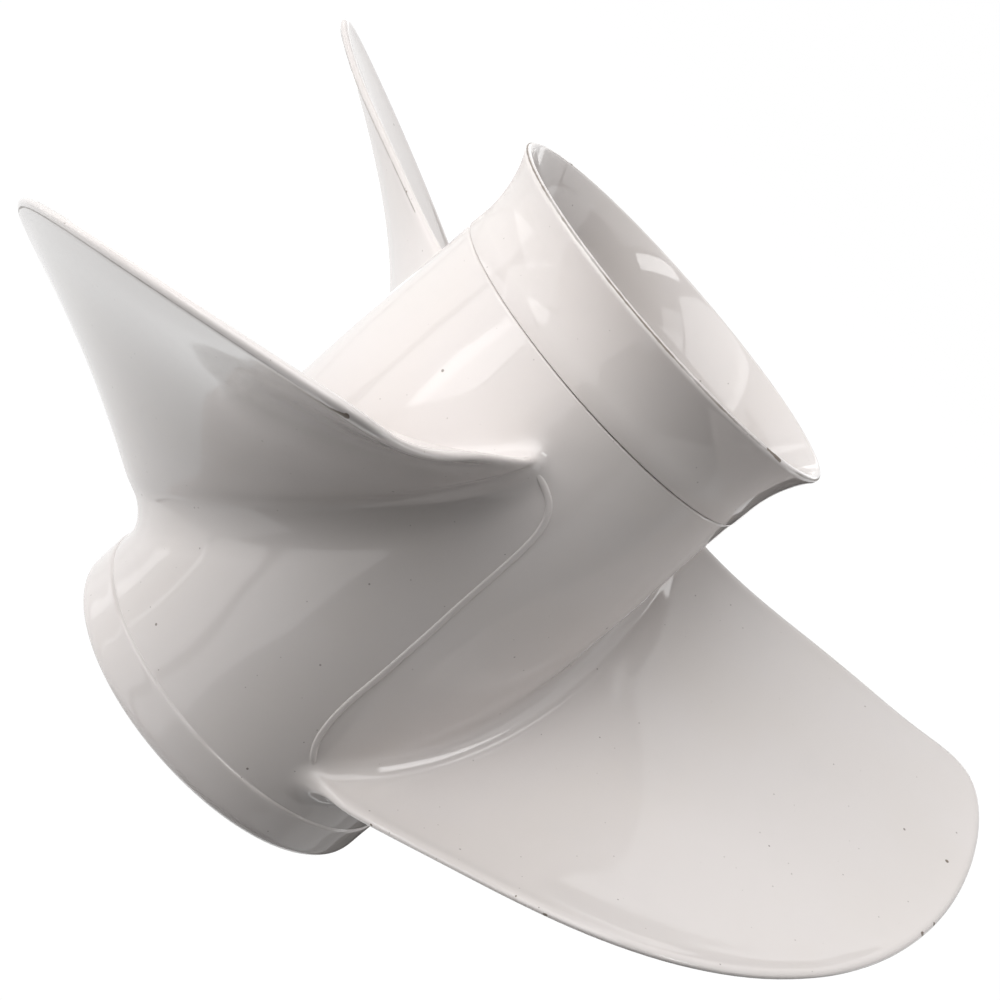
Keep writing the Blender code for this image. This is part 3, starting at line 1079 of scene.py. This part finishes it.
def makePaint(name):
    look = paintLook
    material, board, shader = newMaterial(name)
    place = board.node("ShaderNodeTexCoord", None, None, 3)
    wear = board.node("ShaderNodeAttribute", {"attribute_name": "edgeWear"}, None, 2)

    # slow changes of colour, as on paint that has aged unevenly
    slow = board.noise(place, look["slowScale"], 3.0)
    fine = board.noise(place, look["fineScale"], 3.0)
    color = board.mix(board.fade(slow, 0.40, 0.66), look["base"], look["yellowed"])
    haze = board.fade(board.noise(place, look["hazeScale"], 4.0), 0.52, 0.74)
    color = board.mix(haze * 0.35, color, look["greyed"])

    # dirt specks and pinholes
    dots, dust, pits = (board.specks(place, *look[key]) for key in ("dots", "dust", "pits"))
    marks = board.math("MAXIMUM", dots, board.math("MAXIMUM", dust * 0.75, pits * 0.55))
    color = board.mix(marks * 0.8, color, look["speck"])

    # small chips along the blades' borders and the rim, and the larger ones at their places
    ragged = board.noise(place, look["raggedScale"], 2.0)
    nicks = board.fade(ragged + wear * 0.17, 0.88, 0.91) * board.fade(wear, 0.1, 0.5)
    chipsAndShade = nicks * 0.8
    for degrees, radius, height, size, dark in paintChips:
        away = board.vector("DISTANCE", place, tuple(paintSpot(degrees, radius, height)), 1)
        chipsAndShade = board.math("MAXIMUM", chipsAndShade, board.fade(away / (size * mm) + ragged * 1.6, 1.75, 1.55) * dark)
    for first, last, width, dark in paintScuffs:
        start, end = paintSpot(*first), paintSpot(*last)
        along = end - start
        offset = board.vector("SUBTRACT", place, tuple(start))
        dot = board.vector("DOT_PRODUCT", offset, tuple(along), 1)
        share = board.math("DIVIDE", dot, float(along @ along), True)
        away = board.vector("DISTANCE", offset, board.vector("MULTIPLY", share, tuple(along)), 1)
        chipsAndShade = board.math("MAXIMUM", chipsAndShade, board.fade(away / (width * mm) + ragged * 1.4, 1.9, 1.5) * dark)

    # painted shade: dark lines along the front corner of the blades' borders and round the outer corner of
    # the rim, where those rounded corners turn dark in the light
    corner = board.node("ShaderNodeAttribute", {"attribute_name": "cornerLine"}, None, 2)
    patchy = board.fade(board.noise(place, look["patchScale"], 3.0), 0.3, 0.6)
    paintedShade = board.fade(corner + ragged * 0.14, 0.93, 1.03) * (patchy * 0.3 + 0.2)
    chipsAndShade = board.math("MAXIMUM", chipsAndShade, paintedShade)
    line = rimShadeLine
    x, y, z = (board.node("ShaderNodeSeparateXYZ", None, {0: place}, i) for i in range(3))
    radius = board.math("SQRT", x * x + y * y)
    away = board.math("SQRT", board.math("POWER", radius - line["radius"], 2.0)
                      + board.math("POWER", z - line["height"], 2.0))
    paintedShade = board.fade(away / line["width"] + ragged, 1.7, 1.2) * board.fade(slow, 0.38, 0.52)
    paintedShade = paintedShade * line["darkness"]
    chipsAndShade = board.math("MAXIMUM", chipsAndShade, paintedShade)

    # chipped and scuffed paint shows bare metal and dark grime; the painted shade lines take the same dark
    # colour and roughness
    color = board.mix(board.fade(chipsAndShade, 0.05, 0.3) * 0.8, color, look["bareMetal"])
    color = board.mix(board.fade(chipsAndShade, 0.3, 0.85) * 0.9, color, look["grimeAndShade"])
    rough = look["roughness"] + haze * (look["hazeRoughness"] - look["roughness"]) * 0.5 + fine * 0.02
    rough += board.fade(chipsAndShade, 0.05, 0.3) * 0.45
    board.fill(shader, {"Base Color": color, "Roughness": rough, "IOR": 1.5})
    height = board.noise(place, look["peelScale"], 1.0) * look["peel"]
    height += board.noise(place, look["wavesScale"], 1.0) * look["waves"]
    board.bump(shader, height)
    return material


rubberLook = {
    "base": (0.018, 0.018, 0.019),
    "greyed": (0.042, 0.040, 0.038),
    "dust": (0.16, 0.15, 0.13),
    "specks": (5.0 * mm, 0.4 * mm, 0.3),
    "cloudScale": 90.0,
    "grainScale": 900.0,
}


def makeRubber():
    look = rubberLook
    material, board, shader = newMaterial("black rubber")
    place = board.node("ShaderNodeTexCoord", None, None, 3)
    cloudy = board.noise(place, look["cloudScale"], 4.0)
    dust = board.specks(place, *look["specks"])
    color = board.mix(board.fade(cloudy, 0.35, 0.7), look["base"], look["greyed"])
    color = board.mix(dust * 0.5, color, look["dust"])
    board.fill(shader, {"Base Color": color, "Roughness": 0.62 + cloudy * 0.25})
    board.bump(shader, board.noise(place, look["grainScale"], 3.0) * 0.03 + cloudy * 0.05)
    return material


steelLook = {
    "dark": (0.50, 0.49, 0.47),
    "bright": (0.66, 0.65, 0.63),
    "grease": (0.10, 0.075, 0.045),
    "turningScale": 260.0,
    "turningPitch": 12.0,
    "greaseScale": 120.0,
}


def makeSteel():
    look = steelLook
    material, board, shader = newMaterial("greased steel")
    place = board.node("ShaderNodeTexCoord", None, None, 3)
    stretched = board.vector("MULTIPLY", place, (1.0, 1.0, look["turningPitch"]))
    turning = board.noise(stretched, look["turningScale"], 4.0)
    grease = board.fade(board.noise(place, look["greaseScale"], 4.0), 0.48, 0.68)
    color = board.mix(turning, look["dark"], look["bright"])
    color = board.mix(grease * 0.8, color, look["grease"])
    board.fill(shader, {
        "Base Color": color,
        "Metallic": 1 - grease * 0.7,
        "Roughness": 0.26 + turning * 0.16 + grease * 0.12,
    })
    board.bump(shader, turning * 0.006 + grease * 0.08)
    return material


def addWear(piece, closeness):
    # a number at each vertex: 1 on a worn edge, 0 away from it
    addNumbers(piece.data, "edgeWear", [closeness(vertex.co) for vertex in piece.data.vertices])


def bladeWear(place):
    # 1 on a blade's border, 0 from a few millimetres inside it
    angle, radius, _ = cylindrical(place)
    third = math.tau / castingSizes["blades"]
    t, mid, half, _, _ = station(radius)
    if t < bladeSizes["wornFrom"]:
        return 0.0
    off = (angle - mid + third / 2) % third - third / 2
    inside = min((half - abs(off)) * radius, (bladeSizes["tipRadius"] - radius) * 1.5)
    return clamp(1 - inside / bladeSizes["wornWidth"])


def rimWear(place):
    return clamp(1 - (ringSizes["end"] - place[2]) / ringSizes["wornWidth"])


# Camera, light and floor

shot = {
    "place": (0.0, -0.5532, 0.2507),
    "yaw": 0.0142,
    "pitch": 0.2607,
    "roll": -0.8603,
    "focalPixels": 2072.2,
    "picture": 1000,
    "sensor": 36.0,
}


def makeCamera():
    yaw, pitch, roll = pick(shot, "yaw", "pitch", "roll")
    forward = Vector((math.sin(yaw) * math.cos(pitch), math.cos(yaw) * math.cos(pitch), -math.sin(pitch)))
    level = Vector((math.cos(yaw), -math.sin(yaw), 0.0))
    above = level.cross(forward)
    right = math.cos(roll) * level - math.sin(roll) * above
    up = math.sin(roll) * level + math.cos(roll) * above
    camera = linkObject("camera", bpy.data.cameras.new("camera"))
    turn = Matrix((right, up, -forward)).transposed().to_4x4()
    camera.matrix_world = Matrix.Translation(shot["place"]) @ turn
    camera.data.sensor_width = shot["sensor"]
    camera.data.lens = shot["sensor"] * shot["focalPixels"] / shot["picture"]
    camera.data.clip_start = 0.01
    bpy.context.scene.camera = camera
    return camera


# Soft boxes as seen from the hub, in the picture's own directions: degrees from its right towards the viewer,
# degrees up, degrees wide and high, and brightness
softBoxes = {
    "key": (105, 40, 80, 46, 2.75),
    "key_left": (160, 24, 27, 76, 1.15),
    "left": (197, 8, 48, 46, 1.15),
    "left_low": (190, -32, 52, 34, 0.75),
    "left_rear": (243, -10, 46, 80, 1.0),
    "rear": (283, 12, 44, 42, 1.1),
    "rear_right": (314, -12, 34, 56, 1.0),
    "right": (6, 13, 70, 66, 0.98),
    "top": (6, 79, 70, 66, 0.98),
    "rear_high": (245, 46, 90, 30, 1.0),
    "front": (95, 8, 34, 15, 1.6),
    "low_right": (0, -62, 70, 40, 0.42),
    "low_rear": (270, -60, 70, 40, 0.38),
}
# bright narrow lamps and panels that only show as reflections in the gloss
gleams = {
    "strip": (48.5, 4, 11, 26, 6.0),
    "front_panel": (118, -2, 50, 34, 0.9),
    "right_low": (345, -32, 40, 26, 1.1),
}
softBoxDistance = 1.6
softBoxTarget = Vector((0.01, -0.02, 0.09))


def makeLights(camera):
    right, up, toward = (Vector(camera.matrix_world.col[i][:3]) for i in range(3))
    for name, (azimuth, elevation, wide, high, strength) in (softBoxes | gleams).items():
        azimuth, elevation = math.radians(azimuth), math.radians(elevation)
        level = right * math.cos(azimuth) + toward * math.sin(azimuth)
        out = level * math.cos(elevation) + up * math.sin(elevation)
        sideways = up.cross(out).normalized()
        lamp = bpy.data.lights.new("soft box " + name, "AREA")
        lamp.shape = "RECTANGLE"
        lamp.size = 2 * softBoxDistance * math.tan(math.radians(wide / 2))
        lamp.size_y = 2 * softBoxDistance * math.tan(math.radians(high / 2))
        lamp.energy = strength * math.pi * lamp.size * lamp.size_y
        box = linkObject(lamp.name, lamp)
        turn = Matrix((sideways, out.cross(sideways), out)).transposed().to_4x4()
        box.matrix_world = Matrix.Translation(softBoxTarget + out * softBoxDistance) @ turn
        box.visible_diffuse = name in softBoxes


def makeWorld():
    # white behind the object; the soft boxes alone light it
    world = bpy.data.worlds.new("studio")
    bpy.context.scene.world = world
    world.use_nodes = True
    background = world.node_tree.nodes["Background"]
    Board(world.node_tree).fill(background, {"Color": (1.0, 1.0, 1.0, 1.0), "Strength": 1.0})
    world.cycles_visibility.diffuse = False
    world.cycles_visibility.glossy = False


def makeFloor():
    bm = bmesh.new()
    bmesh.ops.create_grid(bm, x_segments=8, y_segments=8, size=4.0)
    mesh = bpy.data.meshes.new("floor")
    bm.to_mesh(mesh)
    bm.free()
    floor = linkObject("floor", mesh)
    material, board, shader = newMaterial("pale floor")
    board.fill(shader, {
        "Base Color": (0.02, 0.02, 0.02, 1.0),
        "Roughness": 1.0,
        "Specular IOR Level": 0.0,
        "Emission Color": (1.0, 1.0, 1.0, 1.0),
        "Emission Strength": 1.0,
    })
    mesh.materials.append(material)
    # the light from below must reach the object, and the floor must not brighten its dark undersides
    floor.visible_diffuse = False
    floor.visible_glossy = False
    floor.visible_shadow = False


paint = makePaint("gloss paint")
rubber = makeRubber()
steel = makeSteel()
casting = makeCasting(paint)
addWear(casting, bladeWear)
ring = turnOutline("flared_rear_ring", ringOutline(), ringSizes["steps"], paint)
addWear(ring, rimWear)
beads = makeBeads(casting, paint)
bush = turnOutline("rubber_hub_bush", bushOutline(), bushSizes["steps"], rubber)
sleeve = makeSleeve(steel)
for piece, node, slot in (
    (casting, "propeller_casting", "hub_paint"),
    (ring, "flared_ring", "ring_paint"),
    (bush, "rubber_bush", "bush_rubber"),
    (sleeve, "splined_sleeve", "sleeve_metal"),
):
    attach(piece, "root")
    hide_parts(node)
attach(beads, "root")

camera = makeCamera()
makeLights(camera)
makeWorld()
makeFloor()
bpy.context.scene.view_settings.view_transform = "Standard"
